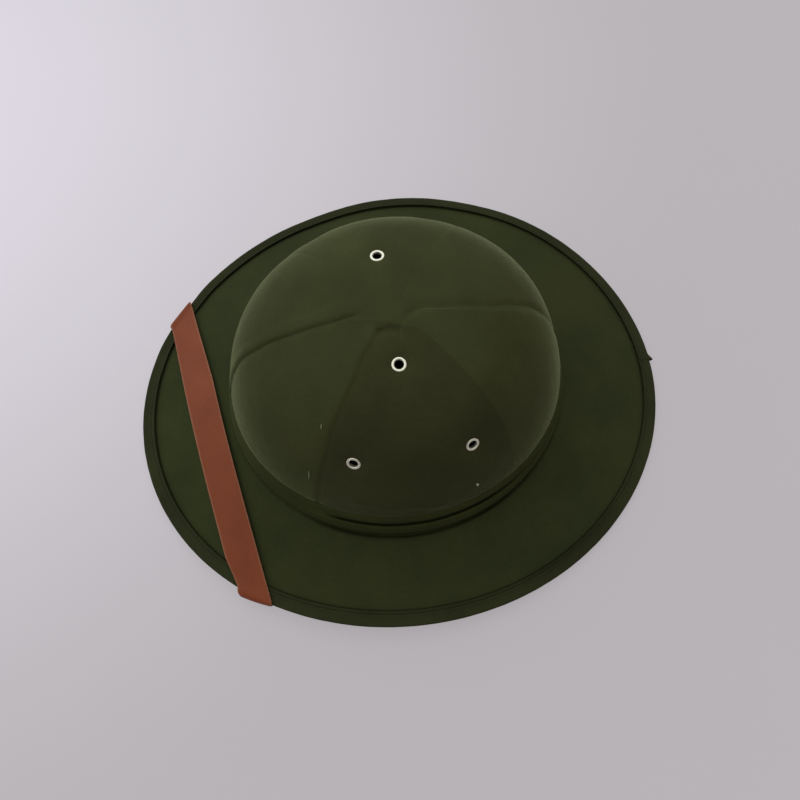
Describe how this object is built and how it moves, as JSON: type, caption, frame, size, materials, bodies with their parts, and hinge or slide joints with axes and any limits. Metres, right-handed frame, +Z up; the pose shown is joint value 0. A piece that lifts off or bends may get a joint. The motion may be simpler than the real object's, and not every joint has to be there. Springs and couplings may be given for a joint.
{
  "type": "cloth-covered sun helmet with chin strap",
  "caption": "Rigid sun helmet covered in dark green cloth: a panelled domed crown with eyelet vents, a folded band, a sloping taped brim, and a leather chin strap worn up over the brim's front.",
  "frame": {"origin": "on the floor, under the middle of the rim's box", "axes": "+Z up through the top of the crown; -Y towards the front of the helmet; +X towards the wearer's left"},
  "size_m": [0.2956, 0.3409, 0.1335],
  "materials": {
    "crown_cloth": "dark olive twill stretched over the crown, with a soft pale sheen at its edges",
    "band_cloth": "the same dark olive cloth, wound and folded round the foot of the crown",
    "brim_cloth": "dark green twill pulled smooth over the brim",
    "tape_cloth": "folded cloth edging with dark rows of stitching",
    "strap_leather": "reddish-brown flat leather with dyed edges",
    "eyelet_metal": "pale rolled metal, slightly dulled",
    "rivet_metal": "plain dulled metal"
  },
  "bodies": {
    "root": {"crown_panel_front_left": "crown_cloth", "crown_panel_front_right": "crown_cloth", "crown_panel_side_left": "crown_cloth", "crown_panel_side_right": "crown_cloth", "crown_panel_back_left": "crown_cloth", "crown_panel_back_right": "crown_cloth", "vent_top_left": "eyelet_metal", "vent_top_right": "eyelet_metal", "vent_front_left": "eyelet_metal", "vent_front_right": "eyelet_metal", "vent_back_left": "eyelet_metal", "vent_back_right": "eyelet_metal", "crown_band": "band_cloth", "brim": "brim_cloth", "edge_tape": "tape_cloth", "chin_strap": "strap_leather", "strap_rivet_left": "rivet_metal", "strap_rivet_right": "rivet_metal"}
  },
  "joints": []
}
